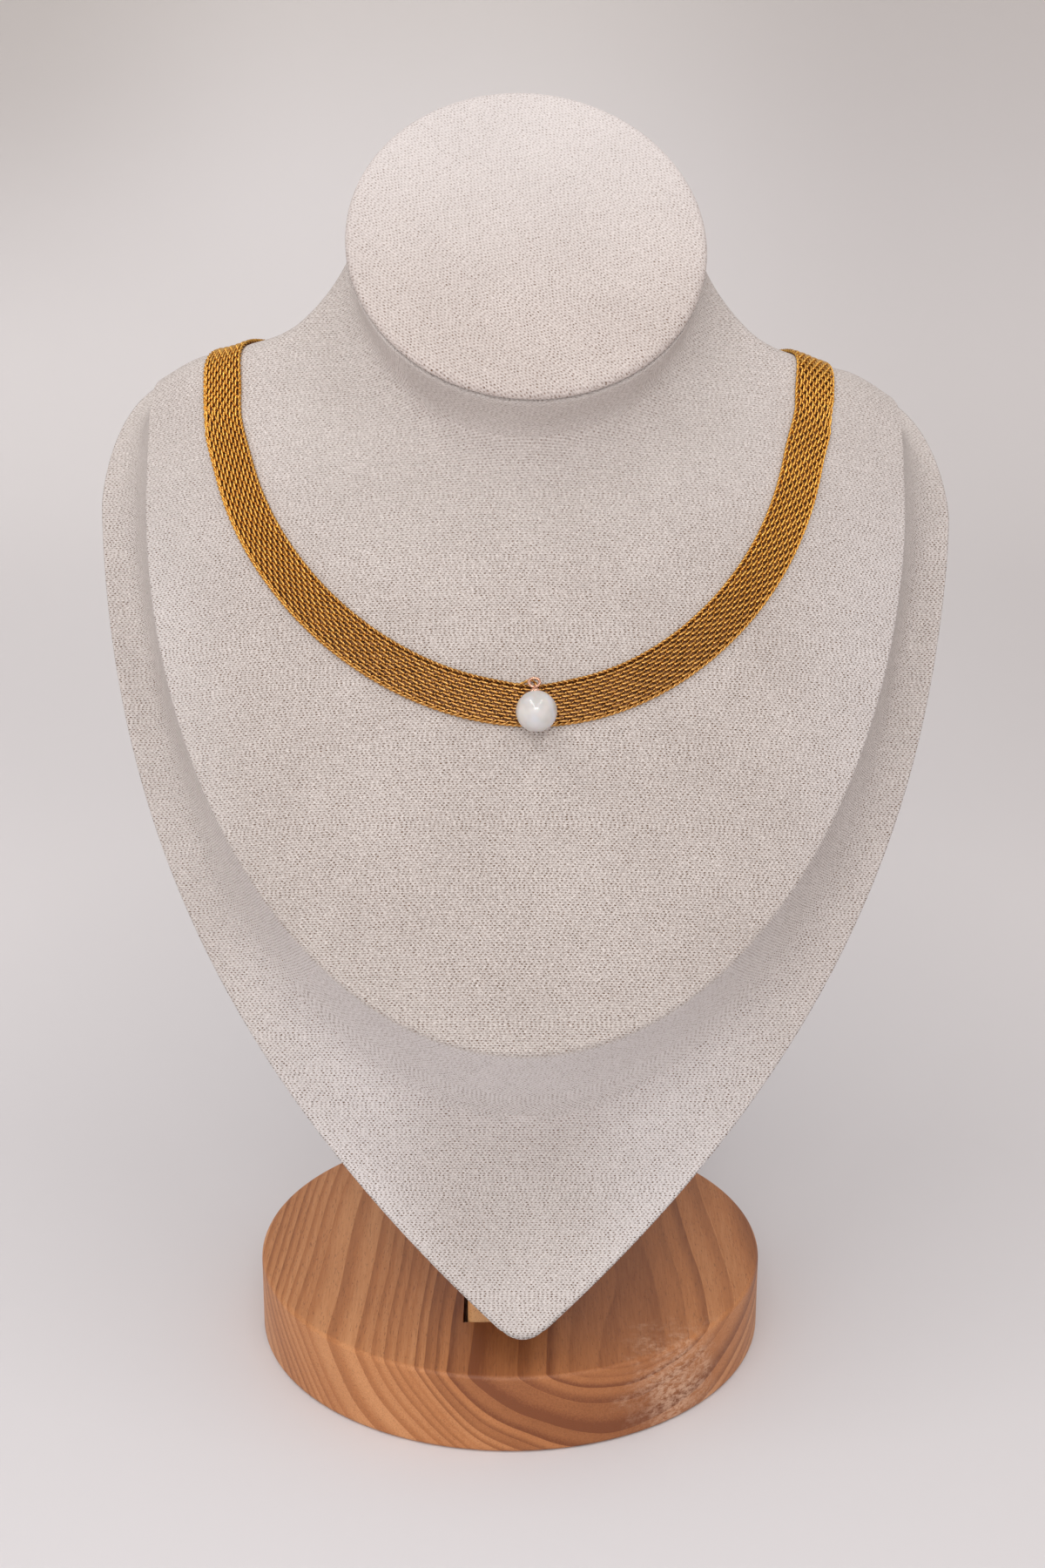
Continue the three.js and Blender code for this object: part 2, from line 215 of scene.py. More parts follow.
def quads(rows, columns, wrap=False):
    """The four-cornered faces of a grid of points, its columns joined round if it wraps."""
    row, column = np.meshgrid(np.arange(rows - 1), np.arange(columns - (not wrap)), indexing="ij")
    after = (column + 1) % columns
    corners = [row * columns + column, row * columns + after,
               (row + 1) * columns + after, (row + 1) * columns + column]
    return np.stack([c.ravel() for c in corners], 1)


def full_turn(count):
    """A count of even turns round a circle, from 0."""
    return np.linspace(0, 2 * math.pi, count, endpoint=False)


def lathe(radii, heights, count):
    """A profile of radii and heights turned round the upright axis, as rows of points."""
    turn = full_turn(count)
    x, y = np.outer(radii, np.cos(turn)), np.outer(radii, np.sin(turn))
    return np.stack([x, y, np.repeat(np.asarray(heights, float)[:, None], count, 1)], -1)


def sweep_faces():
    """The sweep: level round the middle, then a quarter circle up, all turned on a lathe."""
    bend = np.linspace(0, math.pi / 2, 24)
    radii = [4, 300, 600, *(SWEEP_LEVEL + SWEEP_BEND_RADIUS * np.sin(bend))]
    heights = [0, 0, 0, *(SWEEP_BEND_RADIUS * (1 - np.cos(bend)))]
    rows = lathe(radii, heights, SWEEP_SIDES).reshape(-1, 3)
    hub = np.arange(SWEEP_SIDES)
    middle = np.stack([hub, np.roll(hub, -1), np.full(SWEEP_SIDES, len(rows))], 1)
    return np.concatenate([rows, [[0, 0, 0]]]), [quads(len(radii), SWEEP_SIDES, wrap=True), middle]


# Painted light and shade in the paper's colour: painted shade makes it grey by the foot, painted
# light makes it lightest where it starts to curve up and dull high up, and painted soft shade lies
# on its right side and the upper left.
paper, paper_shader, paper_spot = new_finish("sweep_paper", Roughness=0.9)
away = paper_spot.add("VectorMath", {"operation": "LENGTH"}, {0: paper_spot}, "Value")
across = paper_spot.parts()[0]
paper_painted_light = colour(219, 217, 220)
for start, end, next_tone in ((60, 420, colour(231, 228, 230)),
                              (400, 1300, colour(252, 249, 250)),
                              (1500, 2000, colour(229, 224, 220))):
    paper_painted_light = away.between(start, end).mix(paper_painted_light, next_tone)
risen = away.between(1300, 1700)
right_shade = across.between(-50, 350) * (risen * 0.14 + 0.34)
left_shade = (across * -1.0).between(180, 500) * risen * 0.4
shaded = right_shade.mix(paper_painted_light, colour(196, 190, 189))
feed(paper_shader, Base_Color=left_shade.mix(shaded, colour(186, 179, 174)))
sweep, faces_of_sweep = sweep_faces()
floor = new_piece("floor", sweep, faces_of_sweep, paper, outward=False)

room = bpy.data.worlds.new("room")
room.use_nodes = True
room_light = room.node_tree.nodes["Background"].inputs
room_light["Color"].default_value = ROOM_COLOUR
room_light["Strength"].default_value = 0.65
bpy.context.scene.world = room
bpy.context.scene.view_settings.view_transform = "Standard"


def light_bank(name, stand, aim, width, height, power):
    """A soft rectangular light, its place and sides in mm, turned to face a point."""
    data = bpy.data.lights.new(name, "AREA")
    data.shape = "RECTANGLE"
    data.size = width / 1000
    data.size_y = height / 1000
    data.energy = power
    data.color = LAMP_COLOUR
    lamp = bpy.data.objects.new(name, data)
    bpy.context.scene.collection.objects.link(lamp)
    lamp.visible_camera = False
    lamp.location = [v / 1000 for v in stand]
    facing = Vector([v / 1000 for v in aim]) - lamp.location
    lamp.rotation_euler = facing.to_track_quat("-Z", "Y").to_euler()


light_bank("bank_front", (0, -1080, 780), (0, 0, 160), 560, 120, 2.8)
light_bank("bank_left", (-405, -560, 1110), (0, -464, 160), 1050, 120, 3.2)
light_bank("bank_right", (360, -560, 1110), (0, -475, 160), 1050, 120, 2.15)
light_bank("fill_in_front", (-300, -1650, 500), (0, 0, 130), 3000, 980, 14.4)
light_bank("lamp_by_camera", (-120, -1150, 560), (0, 0, 160), 70, 70, 0.2)


# -------- foot
# A disc turned from one softwood board, its grain running from front to back, its two edges eased
# and waxed. A slanted mortise is cut into its top for the slat.

FOOT_RADIUS = 60.0
FOOT_HEIGHT = 19.0
FOOT_EASING = 1.1
FOOT_SIDES = 288
FLAT_RINGS = [20.0, 45.0]
MORTISE = {"half": 10.5, "front": -24.1, "back": -41.1, "floor": 4.7, "clear": 40.0}
WORN_PLACE = (38.0, -46.5, 8.0)
SLAT_SHIFT = -3.0

BUST_TIP = np.array([3.0, -60.0, 28.4])
LEAN = math.radians(28.8)
SAG = {"start": 150.0, "reach": 60.0, "slope": 0.022}


def place(across, up, out):
    """A point of the leaning bust's own frame in the part's frame; the right shoulder sags."""
    share = np.clip((up - SAG["start"]) / SAG["reach"], 0, 1)
    settled = up - SAG["slope"] * across * share * share * (3 - 2 * share)
    depth = settled * math.sin(LEAN) - out * math.cos(LEAN)
    height = settled * math.cos(LEAN) + out * math.sin(LEAN)
    return np.stack([across, depth, height], -1) + BUST_TIP


def closed_faces(rows, columns):
    """The faces of rows joined round, and the fans that close both ends on two points more."""
    ring = np.arange(columns)
    after = (ring + 1) % columns
    last, middle = (rows - 1) * columns, rows * columns
    fans = [np.stack([after, ring, np.full(columns, middle)], 1),
            np.stack([last + ring, last + after, np.full(columns, middle + 1)], 1)]
    return [quads(rows, columns, wrap=True), np.concatenate(fans)]


def closed_rows(rows):
    """Rows of points joined round, with a point in the middle of each end: points and faces."""
    points = np.concatenate([rows.reshape(-1, 3), [rows[0].mean(0)], [rows[-1].mean(0)]])
    return points, closed_faces(*rows.shape[:2])


def eased_profile():
    """The foot's half outline: underside, a quarter round, the wall, a quarter round, the top."""
    turn = np.linspace(0, math.pi / 2, 7)
    corner = FOOT_RADIUS - FOOT_EASING
    radii = [*FLAT_RINGS, *(corner + FOOT_EASING * np.sin(turn)),
             *(corner + FOOT_EASING * np.cos(turn)), *reversed(FLAT_RINGS)]
    heights = [0, 0, *(FOOT_EASING * (1 - np.cos(turn))),
               *(FOOT_HEIGHT - FOOT_EASING * (1 - np.sin(turn))), FOOT_HEIGHT, FOOT_HEIGHT]
    return radii, heights


def up_at_height(height, out):
    """How far up the leaning frame a height in the part's frame is reached, at a distance out."""
    return (height - BUST_TIP[2] - out * math.sin(LEAN)) / math.cos(LEAN)


def mortise_block():
    """What is cut out: a block between two planes of the leaning frame, its floor level."""
    out = np.array([MORTISE["front"], MORTISE["front"], MORTISE["back"], MORTISE["back"]])
    low = up_at_height(MORTISE["floor"], out)
    up = np.where([True, False, False, True], low, MORTISE["clear"])
    return np.stack([place(np.full(4, SLAT_SHIFT + side), up, out)
                     for side in (-MORTISE["half"], MORTISE["half"])])


def wood_finish(name, pith, ring, tones, turned=0.0):
    """Growth rings round a pith that runs from front to back, each with its own width and depth of
    colour, darker rings at the heart, fine fibres along the grain and one pale worn place.

    Distances from the pith and the worn place are in mm; the other numbers are shares.
    """
    material, shader, spot = new_finish(name, Specular_IOR_Level=0.4)
    x, y, z = spot.parts()
    level = z * math.cos(turned) + y * math.sin(turned)
    # Rings: they wander round the pith, and their width swells and shrinks in turn.
    wander = spot.noise(0.02, 2.0, 0.5, (1.0, 0.4, 1.0)) * 9.0
    away = ((x - pith[0]) ** 2.0 + (level - pith[1]) ** 2.0) ** 0.5 + wander + y * 0.05
    count = (away + (away * 0.21).sine() * 3.0) / ring
    number = count.floor()
    share = count - number
    # Each ring darkens slowly and ends at once in late wood, by a lot of its own.
    depth = number.add("TexWhiteNoise", {"noise_dimensions": "1D"}, {"W": number})
    paleness = number.add("TexWhiteNoise", {"noise_dimensions": "1D"}, {"W": number + 0.5})
    ringed = away.between(30, 38)
    darkening = share.between(0.3, 0.95) * (1.0 - share.between(0.95, 1.0))
    late = darkening * (depth * 0.6 + 0.3) * ringed
    dark_heart = (1.0 - away.between(40, 78)) * (1.0 - x.between(30, 54) * 0.8)
    # Fibres and pores are drawn out along the grain, and slow clouds run through the board.
    fibre = spot.noise(2.6, 3.0, 0.65, (1.0, 0.05, 1.0))
    pores = spot.noise(4.5, 1.0, 0.5, (1.0, 0.12, 1.0)).between(0.6, 0.72)
    cloud = spot.noise(0.05, 2.0, 0.5, (1.0, 0.3, 1.0))
    tone = (late * 0.54 + (paleness - 0.5) * ringed * 0.26 + dark_heart * 0.46 + fibre * 0.44
            + cloud * 0.24 - 0.13)
    pale, middle, deep = (colour(*screen)[:3] for screen in tones)
    grain = tone.add("ValToRGB", {"stops": [(0.0, pale), (0.45, middle), (1.0, deep)]}, {0: tone})
    grained = (pores * 0.45).mix(grain, colour(112, 66, 36))
    # The worn place: a ragged round spot, rubbed bare in flecks.
    worn = spot.add("VectorMath", {"operation": "DISTANCE"}, {0: spot, 1: WORN_PLACE}, "Value")
    ragged = (spot.noise(0.16, 3.0, 0.7) - 0.5) * 26.0
    flecks = spot.noise(1.1, 3.0, 0.8, (0.5, 0.5, 1.0)).between(0.35, 0.65)
    rubbed = (1.0 - (worn + ragged).between(2.0, 18.0)) * flecks * 0.7
    feed(shader, Base_Color=rubbed.mix(grained, colour(214, 176, 148)),
         Roughness=0.42 + fibre * 0.12 + rubbed * 0.3, height=(0.05, fibre * 0.8 - pores * 0.5))
    return material


foot_wood = wood_finish("foot_wood", (28.0, 48.0), 2.9,
                        ((212, 154, 106), (178, 116, 70), (122, 68, 36)))
foot = new_piece("foot", *closed_rows(lathe(*eased_profile(), FOOT_SIDES)), foot_wood)
cutter = new_piece("cutter", *closed_rows(mortise_block()), foot_wood)
cut = foot.modifiers.new("mortise", "BOOLEAN")
cut.object = cutter
cut.solver = "EXACT"
bpy.context.view_layer.update()
carved = bpy.data.meshes.new_from_object(foot.evaluated_get(bpy.context.evaluated_depsgraph_get()))
foot.modifiers.clear()
foot.data = carved
foot.data.set_sharp_from_angle(angle=math.radians(40))
bpy.data.objects.remove(cutter)
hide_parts("wood_base")
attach(foot, "root")


# -------- slat
# A planed slat of a paler board, its edges barely rounded. It stands glued in the foot's mortise
# and carries the bust's back.

SLAT = {"half": 9.5, "front": -24.6, "back": -40.6, "foot": 5.0, "top": 150.0, "easing": 0.7,
        "squareness": 0.16, "points": 40}


def bent(values, power):
    """A sine's values raised to a power under their own sign, so that a round turn grows flat."""
    return np.sign(values) * np.abs(values) ** power


def slat_rows():
    """A rounded oblong section carried up the lean, its upper end eased by a quarter round."""
    easing, points = SLAT["easing"], SLAT["points"]
    turn = full_turn(points) + math.pi / points
    middle, half = (SLAT["front"] + SLAT["back"]) / 2, (SLAT["front"] - SLAT["back"]) / 2
    across = SLAT["half"] * bent(np.cos(turn), SLAT["squareness"])
    out = middle + half * bent(np.sin(turn), SLAT["squareness"])
    level = up_at_height(SLAT["foot"], out)
    rows = [place(SLAT_SHIFT + across, level + (SLAT["top"] - easing - level) * share, out)
            for share in np.linspace(0, 1, 24)]
    for share in (0.35, 0.75, 1.0):
        shrink = easing * (1 - math.sqrt(1 - share * share))
        rows.append(place(SLAT_SHIFT + across * (1 - shrink / SLAT["half"]),
                          np.full(points, SLAT["top"] - easing * (1 - share)),
                          middle + (out - middle) * (1 - shrink / half)))
    return np.array(rows)


slat_wood = wood_finish("slat_wood", (60.0, -40.0), 3.4,
                        ((226, 176, 122), (206, 148, 92), (168, 108, 60)), LEAN - math.pi / 2)
slat = new_piece("slat", *closed_rows(slat_rows()), slat_wood)
slat.data.set_sharp_from_angle(angle=math.radians(50))
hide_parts("post")
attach(slat, "root")


# -------- bust
# A light moulded form, wrapped in cream knitted linen that is glued down: a short neck, sloping
# shoulders, a chest that ends in a ridge, and a dished wall back to a shield-shaped back plate.

# Closed rings from the neck's top to the chest's ridge: place along the way, half-width, four
# heights (below the neck, side, shoulder, behind), three distances out, two roundings, and how
# sharply the ring drops back behind the shoulder.
RINGS = np.array([
    # at   wide   low    side   should. high   low_out side_out high_out bow corner fall
    [0.07, 37.8, 187.4, 229.6, 229.0, 264.0, 50.5, 43.0, 34.0, 2.0, 2.0, 3.0],
    [0.15, 40.5, 181.5, 224.6, 226.0, 256.6, 45.0, 37.0, 24.0, 2.0, 2.0, 4.0],
    [0.27, 49.0, 166.0, 216.0, 226.2, 247.8, 43.6, 35.5, 12.7, 1.9, 2.4, 5.5],
    [0.48, 64.3, 131.0, 200.0, 221.8, 237.0, 41.0, 30.5, 2.0, 1.8, 5.7, 8.0],
    [0.74, 76.0, 95.0, 193.0, 222.2, 228.0, 37.6, 24.5, -5.0, 1.8, 6.6, 8.0],
    [1.00, 85.0, 58.4, 185.0, 219.5, 222.9, 33.2, 18.5, -9.0, 1.8, 7.5, 8.0],
])
SEAM = {"wide": 38.4, "tall": 39.25, "up": 228.75, "out": 52.4, "climb": -0.254, "tilt": -0.04}
LOW_FALL = 1.6
EDGE = {"wide": 98.5, "side": 187.0, "vertex": -2.3, "shoulder": 225.2, "high": 221.1,
        "out_high": -14.0, "corner": 12.0, "bluff": 1.6, "fall": 8.0, "spacing": 1.8,
        "drawn_in": (0.33, 1.3, 0.67, 2.7), "tip_radius": 6.2, "tip_angle": math.radians(45.6)}
FLARE = {"half_width": 37.9, "power": 6.9}
WALL = {"steep": 1.25, "steeper": 3.6, "widest": 59.0, "dish": 0.22, "spacing": 1.25, "rows": 44}
BACK = {"middle": 120.0, "out": -24.3, "flat_from": 0.3, "fullness": 2.6,
        "insets": (0.006, 0.015, 0.03, 0.05, 0.08, 0.12, 0.18, 0.26, 0.4, 0.6, 0.8)}
CHEST_ROWS = 112
TURNS = {"front": 96, "back": 96, "crowding": 1.35}
# The colour the linen is painted towards where it gets painted light.
LINEN_PAINTED_LIGHT = colour(228, 224, 225)
# The colour of the painted shade in the linen's pits.
LINEN_PIT_SHADE = colour(124, 92, 66)


def seam_points(turn, grow=0.0):
    """The slanted oval where the neck is cut off, at a turn from its lowest point."""
    across = (SEAM["wide"] + grow) * np.sin(turn)
    rise = -(SEAM["tall"] + grow) * np.cos(turn)
    out = SEAM["out"] + SEAM["climb"] * rise + SEAM["tilt"] * across
    return np.stack([across, SEAM["up"] + rise, out], -1)


def upper_half(turn, wide, side, shoulder, high, out_side, out_high, corner, fall, bluff=None):
    """A ring above its widest place: round the shoulder's corner, then up the neck's flare."""
    share = np.abs(np.sin(turn))
    across = wide * share
    bend = np.maximum(0, 1 - share ** corner) ** (1 / (bluff or corner))
    flare = 1 / (1 + (across / FLARE["half_width"]) ** FLARE["power"]) if corner > 2 else 1
    top = shoulder + (high - shoulder) * flare
    out = out_high + (out_side - out_high) * share ** fall
    return np.stack([across, side + (top - side) * bend, out], -1)


def ring_points(ring, turn):
    """One ring at a turn from 0, below the neck, to pi, behind it; its lower half is a bow."""
    _, wide, low, side, shoulder, high, out_low, out_side, out_high, bow, corner, fall = ring
    drop = np.clip(np.cos(turn), 0, 1)
    lower = np.stack([wide * np.sqrt(np.maximum(0, 1 - drop ** bow)), side + (low - side) * drop,
                      out_side + (out_low - out_side) * drop ** LOW_FALL], -1)
    upper = upper_half(turn, wide, side, shoulder, high, out_side, out_high, corner, fall)
    return np.where((turn > math.pi / 2)[..., None], upper, lower)


def edge_points(turn):
    """The back plate's edge: a round tip, then sides that a slow and a fast power of the drop draw
    in, then the shoulders."""
    slow, slow_power, fast, fast_power = EDGE["drawn_in"]
    up = EDGE["side"] * (1 - np.clip(np.cos(turn), 0, 1) ** EDGE["spacing"])
    drop = (EDGE["side"] - up) / (EDGE["side"] - EDGE["vertex"])
    side = EDGE["wide"] * (1 - slow * drop ** slow_power - fast * drop ** fast_power)
    tip = np.sqrt(np.maximum(0, 2 * EDGE["tip_radius"] * up - up * up))
    round_to = EDGE["tip_radius"] * (1 - math.sin(EDGE["tip_angle"]))
    lower = np.stack([np.where(up < round_to, tip, side), up, 0 * up], -1)
    upper = upper_half(turn, EDGE["wide"], EDGE["side"], EDGE["shoulder"], EDGE["high"], 0.0,
                       EDGE["out_high"], EDGE["corner"], EDGE["fall"], EDGE["bluff"])
    return np.where((turn > math.pi / 2)[..., None], upper, lower)


def mirror(turn):
    """What brings a point worked out on the positive half to its turn's own half."""
    return np.stack([np.where(turn < 0, -1.0, 1.0), *np.ones((2, *turn.shape))], -1)


def chest_points(turn, at):
    """Neck, shoulders and chest: cubic pieces through the seam and the rings, in the bust's frame.

    turn runs from -pi to pi round the neck, and at from 0 at the seam to 1 at the ridge.
    """
    turn = (turn + math.pi) % (2 * math.pi) - math.pi
    seam = seam_points(turn) * mirror(turn)
    knots = np.array([0.0, *RINGS[:, 0]])
    stops = np.stack([seam, *(ring_points(ring, np.abs(turn)) for ring in RINGS)])
    gaps = np.diff(knots).reshape(-1, *[1] * (stops.ndim - 1))
    chords = np.diff(stops, axis=0) / gaps
    inner = (gaps[1:] * chords[:-1] + gaps[:-1] * chords[1:]) / (gaps[1:] + gaps[:-1])
    slopes = np.concatenate([chords[:1], inner, chords[-1:]])
    at = np.broadcast_to(at, turn.shape)
    piece = np.clip(np.searchsorted(knots, at, side="right") - 1, 0, len(knots) - 2)
    span = (knots[piece + 1] - knots[piece])[..., None]
    u = (at - knots[piece])[..., None] / span

    def pick(values, index):
        return np.take_along_axis(values, index[None, ..., None], 0)[0]

    point = ((2 * u ** 3 - 3 * u ** 2 + 1) * pick(stops, piece)
             + (u ** 3 - 2 * u ** 2 + u) * span * pick(slopes, piece)
             + (3 * u ** 2 - 2 * u ** 3) * pick(stops, piece + 1)
             + (u ** 3 - u ** 2) * span * pick(slopes, piece + 1))
    return point * mirror(turn)


def wall_points(turn, share):
    """The wall between ridge and edge: it drops as a power of what is left of the way, steeper
    where it is wider, and dishes by share times (1 - share) squared, brought to a depth of 1."""
    ridge, edge = ring_points(RINGS[-1], turn), edge_points(turn)
    span = np.hypot(edge[..., 0] - ridge[..., 0], edge[..., 1] - ridge[..., 1])
    steep = WALL["steep"] + WALL["steeper"] * (span / WALL["widest"]) ** 1.5
    point = ridge + (edge - ridge) * share[..., None]
    fall = (ridge[..., 2] - edge[..., 2]) * (1 - share) ** steep
    dish = 27 / 4 * share * (1 - share) ** 2
    point[..., 2] = edge[..., 2] + fall - WALL["dish"] * span * dish
    return point


def back_points(turn, inset, reach):
    """The plain back, drawn in from the edge towards its middle and down to its flat."""
    edge = edge_points(turn)
    up = edge[..., 1] + (BACK["middle"] - edge[..., 1]) * inset
    out = edge[..., 2] + (BACK["out"] - edge[..., 2]) * reach
    return np.stack([edge[..., 0] * (1 - inset), up, out], -1)


def turns_round():
    """Turns from 0 round by one side and the back: even below, crowded towards each shoulder."""
    below = np.linspace(0, 1, TURNS["front"], endpoint=False)
    above = 1 + np.linspace(0, 1, TURNS["back"] + 1) ** TURNS["crowding"]
    half = np.concatenate([below, above]) * math.pi / 2
    return np.concatenate([half, -half[-2:0:-1]])


def bust_points():
    """Rows from the seam to the ridge, down the wall, round the edge and over the back."""
    turn = turns_round()
    rows = [chest_points(turn, at) for at in np.linspace(0, 1, CHEST_ROWS)]
    for share in np.linspace(0, 1, WALL["rows"])[1:] ** WALL["spacing"]:
        rows.append(wall_points(np.abs(turn), np.full(turn.shape, share)) * mirror(turn))
    for inset in BACK["insets"]:
        reach = 1 - (1 - min(1.0, inset / BACK["flat_from"])) ** BACK["fullness"]
        rows.append(back_points(np.abs(turn), inset, reach) * mirror(turn))
    return np.array(rows)


def cloth_map(piece, turned=0.0):
    """The cloth's own map, in millimetres of the leaning frame, turned in its plane.

    A face to the front reads across and up, one to the side out and up, the rest across and out.
    """
    axes = np.array([[1, 0, 0], [0, math.sin(LEAN), math.cos(LEAN)],
                     [0, -math.cos(LEAN), math.sin(LEAN)]])
    mesh = piece.data
    points, normals = np.zeros(len(mesh.vertices) * 3), np.zeros(len(mesh.polygons) * 3)
    corner, size = np.zeros(len(mesh.loops), int), np.zeros(len(mesh.polygons), int)
    mesh.vertices.foreach_get("co", points)
    mesh.polygons.foreach_get("normal", normals)
    mesh.polygons.foreach_get("loop_total", size)
    mesh.loops.foreach_get("vertex_index", corner)
    across, up, out = ((points.reshape(-1, 3) * 1000 - BUST_TIP) @ axes.T)[corner].T
    sideways, upwards, forward = np.repeat(np.abs(normals.reshape(-1, 3) @ axes.T), size, 0).T
    front, side = forward > 0.5, sideways > upwards
    u = np.where(front | ~side, across, out)
    v = np.where(front | side, up, out)
    flat = np.stack([u * math.cos(turned) - v * math.sin(turned),
                     u * math.sin(turned) + v * math.cos(turned)], 1)
    mesh.uv_layers.new(name="cloth").data.foreach_set("uv", flat.ravel())


def linen_painted_light(spot, upward, painted_top_light):
    """How much painted light the cloth gets, painting it paler: on the wall just below the ridge
    and beside the tip, on the chest towards its sides, and upward by the share of painted top
    light."""
    x, _, z = spot.parts()
    side = x.size()
    beside = side.between(10, 34)
    under_ridge = (1.0 - beside) * z.between(58, 84)
    flank = 1.0 - side.between(30, 72) * 0.7
    wall = spot.add("Attribute", {"attribute_name": "wall"}, {}, "Fac")
    pale = (wall * (beside * 0.34 + under_ridge * 0.4 + 0.27) * flank
            + (1.0 - wall) * side.between(50, 84) * 0.4)
    return pale * (1.0 - upward) + upward * painted_top_light


def linen_finish(name, wale, course, threads, strength, painted_light_heights, painted_top_light):
    """Knitted linen: courses of slubby yarn with staggered, uneven pits between the stitches.

    A stitch is a cell of the cloth's map, a wale wide and a course high, in mm. Between the two
    given heights the yarn is painted paler with painted light, and the pits close.
    """
    material, shader, spot = new_finish(
        name, Roughness=0.95, Specular_IOR_Level=0.12, Sheen_Weight=0.2, Sheen_Roughness=0.5)
    shader.inputs["Sheen Tint"].default_value = colour(255, 248, 242)
    # Painted light: between the given heights the yarn is painted paler and its pits shallower.
    upward = spot.parts()[2].between(*painted_light_heights)
    # Stitches: wavering rows and columns, each row shifted by half a stitch and by its own lot.
    flat = spot.add("UVMap", {"uv_map": "cloth"}, {})
    wobble = (flat.noise(0.3, 2.0) - 0.5) * 0.5
    u, v, _ = flat.parts()
    course_count = (v + wobble) / course
    row = course_count.floor()
    row_luck = row.add("TexWhiteNoise", {"noise_dimensions": "1D"}, {"W": row})
    wale_count = (u + wobble * 2.0) / wale + row * 0.5 + row_luck * 0.45
    column = wale_count.floor()
    in_row = course_count - row - 0.5
    in_column = wale_count - column - 0.5
    # Pits: ragged ovals, some deep and some nearly closed, in looser and tighter patches, darkened
    # with painted shade.
    cell = spot.add("CombineXYZ", {}, {0: column, 1: row})
    luck = spot.add("TexWhiteNoise", {"noise_dimensions": "2D"}, {"Vector": cell})
    ragged = (flat.noise(3.0, 2.0, 0.6) - 0.5) * 0.9
    away = ((in_column / 0.31) ** 2.0 + (in_row / 0.37) ** 2.0) ** 0.5 + ragged
    crowd = flat.noise(0.5, 2.0, 0.6).between(0.3, 0.7) * 0.7 + 0.65
    open_pit = (1.0 - away.between(0.2, 1.0)) * (luck ** 1.5 * 0.62 + 0.4) * crowd
    pit = open_pit * (1.0 - upward * 0.45)
    # Yarn: rounded over each stitch, thick and thin, with a fine grain and slow patches.
    slub = flat.noise(1.6, 3.0, 0.75, (0.7, 1.0, 1.0)).between(0.36, 0.64)
    grain = flat.noise(3.0, 2.0, 0.8, (0.6, 1.0, 1.0)).between(0.32, 0.68)
    patch = spot.noise(0.05, 3.0, 0.6).between(0.3, 0.75)
    yarn = (in_row * 2.0).size() * 0.72 + (in_column * 2.0).size() * 0.28
    # The yarn's colour: its own slubs, grain and patches, with painted light on each rounded
    # stitch.
    stitch_tone_and_painted_light = yarn * 0.32 + slub * 0.26 + grain * 0.3 + patch * 0.12
    # The thread colour is painted paler with painted light on the wall, the chest's sides and
    # upward.
    thread = linen_painted_light(spot, upward, painted_top_light).mix(stitch_tone_and_painted_light.mix(*threads), LINEN_PAINTED_LIGHT)
    feed(shader, Base_Color=(pit * strength).mix(thread, LINEN_PIT_SHADE),
         height=(0.2 * strength, yarn * 0.5 + grain * 0.3 + slub * 0.4 - pit))
    return material


# Painted light: the chest's yarn is painted paler from 176 to 216 mm up, towards the neck.
chest_linen = linen_finish(
    "chest_linen", 0.97, 0.49, (colour(154, 143, 137), colour(233, 226, 222)), 1.0, (176, 216),
    0.14)
bust_rows = bust_points()
bust_flat, bust_faces = closed_rows(bust_rows)
bust = new_piece("bust_linen", place(*bust_flat.T), bust_faces, chest_linen)
cloth_map(bust)
# The wall's points are marked for the painted light the linen gets there.
on_wall = bust.data.attributes.new("wall", "FLOAT", "POINT")
on_wall.data.foreach_set("value", np.arange(len(bust_flat)) >= CHEST_ROWS * bust_rows.shape[1])
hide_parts("bust")
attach(bust, "root")


# -------- neck cap
# An oval board over the cut neck, wrapped in the same linen with its courses on the slant; the
# cloth rounds its rim and is tucked in against the neck.

CAP_GAP = 0.3
CAP_THICK = 2.5
CAP_ROUND = 1.7
CAP_SIDES = 240
# How far in and how high the cloth lies where it is tucked under the rim.
TUCKED = [(1.6, 0.0), (0.8, 0.0), (0.3, 0.15), (0.05, 0.5)]


def cap_points():
    """Slanted ovals, lifted off the neck's cut along its normal: out from under the rim, up, round
    a quarter circle, then in over the face."""
    turn = full_turn(CAP_SIDES)
    bend = np.linspace(0, math.pi / 2, 9)
    under, under_lifts = np.array(TUCKED).T
    face = np.linspace(3.6, 34, 24)
    insets = np.concatenate([under, CAP_ROUND * (1 - np.cos(bend)), face])
    lifts = np.concatenate([under_lifts, CAP_THICK - CAP_ROUND + CAP_ROUND * np.sin(bend),
                            np.full(len(face), CAP_THICK)]) + CAP_GAP
    normal = np.array([-SEAM["tilt"], -SEAM["climb"], 1.0])
    normal /= np.linalg.norm(normal)
    ovals = np.array([seam_points(turn, -inset) for inset in insets])
    return ovals + lifts[:, None, None] * normal


# Painted light: the cap's yarn is painted paler and cooler towards its top.
cap_linen = linen_finish(
    "cap_linen", 0.97, 0.56, (colour(168, 156, 151), colour(229, 220, 216)), 0.8, (232, 284),
    0.5)
cap_flat, cap_faces = closed_rows(cap_points())
cap = new_piece("cap_linen_cover", place(*cap_flat.T), cap_faces, cap_linen)
cloth_map(cap, math.radians(38))
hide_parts("neck_cap")
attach(cap, "root")


# -------- mesh band
# A gold-tone band woven of flattened wire coils. Each coil runs from edge to edge and is screwed
# through its neighbour, so its turns lie half a turn beside the next ones. Ropes finish its edges.
# A dark strip of painted shade lies under the coils, where the shade between the wires falls.

